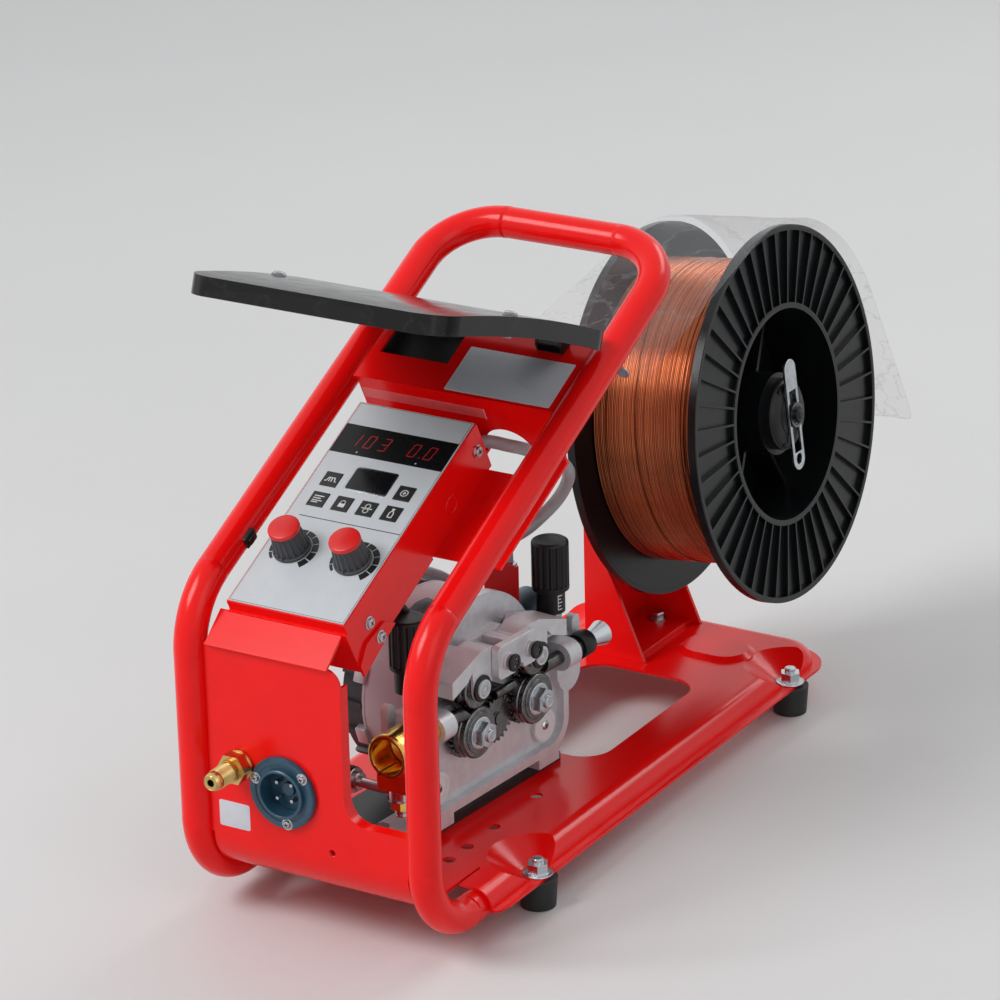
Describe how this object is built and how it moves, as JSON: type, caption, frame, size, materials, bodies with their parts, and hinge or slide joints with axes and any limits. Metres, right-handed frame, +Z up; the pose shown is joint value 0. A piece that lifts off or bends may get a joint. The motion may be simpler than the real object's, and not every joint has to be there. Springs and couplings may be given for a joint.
{
  "type": "mig wire feeder",
  "caption": "Wire feeder in a bent tube carry frame: geared roll drive, wire spool on a tilted hub, sloping control box, hinged smoked visor and rubber feet.",
  "frame": {"origin": "middle of the bounding box's bottom face, on the bench under the rubber feet", "axes": "+Z up, front with the gas nipple and the socket towards -Y, +X to the right of someone who faces the control panel"},
  "size_m": [0.232, 0.6866, 0.4424],
  "materials": {
    "red_paint": "gloss powder coat",
    "panel_film": "satin",
    "dark_window": "gloss",
    "zinc": "zinc plated",
    "black_plastic": "satin",
    "smoked_plastic": "smoked, see-through",
    "clear_rubber": "clear",
    "cast_alloy": "as cast",
    "motor_paint": "satin",
    "white_plastic": "translucent",
    "gear_steel": "dark oiled",
    "brass": "plain",
    "teal_alloy": "satin",
    "grey_hose": "matt",
    "spool_plastic": "moulded",
    "copper_wire": "copper coated",
    "clear_film": "clear",
    "foot_rubber": "matt"
  },
  "bodies": {
    "frame": {"tube_frame": "red_paint", "chassis_pan": "red_paint", "box_bracket": "red_paint", "upper_tray": "red_paint", "control_box": "red_paint", "control_panel": "panel_film", "display_windows": "dark_window", "dial_pots": "zinc", "box_screws": "zinc", "visor_hinges": "black_plastic", "insulating_plate": "black_plastic", "drive_casting": "cast_alloy", "drive_bolts": "zinc", "gear_housing": "cast_alloy", "motor_body": "motor_paint", "motor_end_ring": "black_plastic", "arm_bridge": "cast_alloy", "cap_discs": "white_plastic", "wire_guides": "zinc", "torch_connector": "brass", "gas_nipple": "brass", "panel_socket": "teal_alloy", "gas_valve": "teal_alloy", "gas_hose": "grey_hose", "control_cable": "grey_hose", "spool_bracket": "red_paint", "hub_spindle": "zinc", "spool_cover": "clear_film", "feet": "foot_rubber"},
    "spool": {"spool": "spool_plastic", "wire_core": "copper_wire", "wire_winding": "copper_wire", "hub_drum": "black_plastic"},
    "latch": {"spool_latch": "zinc"},
    "front_drive": {"front_drive_gear": "gear_steel", "front_drive_roll": "gear_steel", "front_roll_nut": "zinc"},
    "rear_drive": {"rear_drive_gear": "gear_steel", "rear_drive_roll": "gear_steel", "rear_roll_nut": "zinc"},
    "pinion": {"pinion": "gear_steel"},
    "front_arm": {"front_arm": "cast_alloy"},
    "rear_arm": {"rear_arm": "cast_alloy"},
    "front_pressure": {"front_pressure_roll": "gear_steel"},
    "rear_pressure": {"rear_pressure_roll": "gear_steel"},
    "front_rod": {"front_tension_rod": "zinc"},
    "rear_rod": {"rear_tension_rod": "zinc"},
    "front_knob": {"front_tension_knob": "black_plastic"},
    "rear_knob": {"rear_tension_knob": "black_plastic"},
    "amps": {"amps_dial": "black_plastic"},
    "volts": {"volts_dial": "black_plastic"},
    "visor": {"visor": "smoked_plastic", "visor_bumpers": "clear_rubber"},
    "clamp": {"clamp_lever": "zinc"},
    "key_1": {"key_1": "black_plastic"},
    "key_2": {"key_2": "black_plastic"},
    "key_3": {"key_3": "black_plastic"},
    "key_4": {"key_4": "black_plastic"},
    "key_5": {"key_5": "black_plastic"},
    "key_6": {"key_6": "black_plastic"}
  },
  "joints": [
    {"name": "spool_spin", "type": "hinge", "parent": "frame", "child": "spool", "pos_m": [0.10015, 0.16835, 0.2327], "axis": [0.993, 0, 0.1177], "continuous": true},
    {"name": "latch_slide", "type": "slide", "parent": "spool", "child": "latch", "axis": [-0.1177, 0, 0.993], "range_m": [-0.008, 0.008]},
    {"name": "front_drive_spin", "type": "hinge", "parent": "frame", "child": "front_drive", "pos_m": [0.03966, -0.16615, 0.105], "axis": [0.9969, -0.0785, 0], "continuous": true},
    {"name": "rear_drive_spin", "type": "hinge", "parent": "frame", "child": "rear_drive", "pos_m": [0.04492, -0.09935, 0.105], "axis": [0.9969, -0.0785, 0], "continuous": true},
    {"name": "pinion_spin", "type": "hinge", "parent": "frame", "child": "pinion", "pos_m": [0.03332, -0.13204, 0.1009], "axis": [0.9969, -0.0785, 0], "continuous": true},
    {"name": "front_arm_lift", "type": "hinge", "parent": "frame", "child": "front_arm", "pos_m": [0.03728, -0.1454, 0.152], "axis": [0.9969, -0.0785, 0], "range_deg": [-0.36, 0]},
    {"name": "rear_arm_lift", "type": "hinge", "parent": "frame", "child": "rear_arm", "pos_m": [0.03932, -0.11948, 0.152], "axis": [0.9969, -0.0785, 0], "range_deg": [0, 0.36]},
    {"name": "front_pressure_spin", "type": "hinge", "parent": "front_arm", "child": "front_pressure", "pos_m": [0.03966, -0.16615, 0.138], "axis": [0.9969, -0.0785, 0], "continuous": true},
    {"name": "rear_pressure_spin", "type": "hinge", "parent": "rear_arm", "child": "rear_pressure", "pos_m": [0.04492, -0.09935, 0.138], "axis": [0.9969, -0.0785, 0], "continuous": true},
    {"name": "front_rod_swing", "type": "hinge", "parent": "frame", "child": "front_rod", "pos_m": [0.01795, -0.21259, 0.125], "axis": [0.9969, -0.0785, 0], "range_deg": [0, 34]},
    {"name": "rear_rod_swing", "type": "hinge", "parent": "frame", "child": "rear_rod", "pos_m": [0.03074, -0.05009, 0.125], "axis": [0.9969, -0.0785, 0], "range_deg": [-34, 0]},
    {"name": "front_knob_turn", "type": "hinge", "parent": "front_rod", "child": "front_knob", "pos_m": [0.01795, -0.21259, 0.17], "axis": [0, 0, 1], "continuous": true},
    {"name": "rear_knob_turn", "type": "hinge", "parent": "rear_rod", "child": "rear_knob", "pos_m": [0.03074, -0.05009, 0.17], "axis": [0, 0, 1], "continuous": true},
    {"name": "amps_turn", "type": "hinge", "parent": "frame", "child": "amps", "pos_m": [-0.04655, -0.25159, 0.25677], "axis": [0, -0.4509, 0.8926], "range_deg": [-150, 150]},
    {"name": "volts_turn", "type": "hinge", "parent": "frame", "child": "volts", "pos_m": [0.00045, -0.25159, 0.25677], "axis": [0, -0.4509, 0.8926], "range_deg": [-150, 150]},
    {"name": "key_1_press", "type": "slide", "parent": "frame", "child": "key_1", "axis": [0, 0.4509, -0.8926], "range_m": [0, 0.0005], "stiffness_N_per_m": 400},
    {"name": "key_2_press", "type": "slide", "parent": "frame", "child": "key_2", "axis": [0, 0.4509, -0.8926], "range_m": [0, 0.0005], "stiffness_N_per_m": 400},
    {"name": "key_3_press", "type": "slide", "parent": "frame", "child": "key_3", "axis": [0, 0.4509, -0.8926], "range_m": [0, 0.0005], "stiffness_N_per_m": 400},
    {"name": "key_4_press", "type": "slide", "parent": "frame", "child": "key_4", "axis": [0, 0.4509, -0.8926], "range_m": [0, 0.0005], "stiffness_N_per_m": 400},
    {"name": "key_5_press", "type": "slide", "parent": "frame", "child": "key_5", "axis": [0, 0.4509, -0.8926], "range_m": [0, 0.0005], "stiffness_N_per_m": 400},
    {"name": "key_6_press", "type": "slide", "parent": "frame", "child": "key_6", "axis": [0, 0.4509, -0.8926], "range_m": [0, 0.0005], "stiffness_N_per_m": 400},
    {"name": "visor_hinge", "type": "hinge", "parent": "frame", "child": "visor", "pos_m": [-0.00155, -0.07287, 0.35321], "axis": [1, 0, 0], "range_deg": [-30, 44]},
    {"name": "clamp_turn", "type": "hinge", "parent": "frame", "child": "clamp", "pos_m": [0.03215, -0.24881, 0.092], "axis": [0, 0, 1], "range_deg": [-25, 0]}
  ],
  "couplings": [
    {"joint": "rear_drive_spin", "follows": "front_drive_spin", "ratio": 1},
    {"joint": "pinion_spin", "follows": "front_drive_spin", "ratio": -1.1429},
    {"joint": "front_pressure_spin", "follows": "front_drive_spin", "ratio": -1.2},
    {"joint": "rear_pressure_spin", "follows": "front_drive_spin", "ratio": -1.2},
    {"joint": "front_arm_lift", "follows": "front_rod_swing", "ratio": -0.01},
    {"joint": "rear_arm_lift", "follows": "rear_rod_swing", "ratio": -0.01}
  ]
}
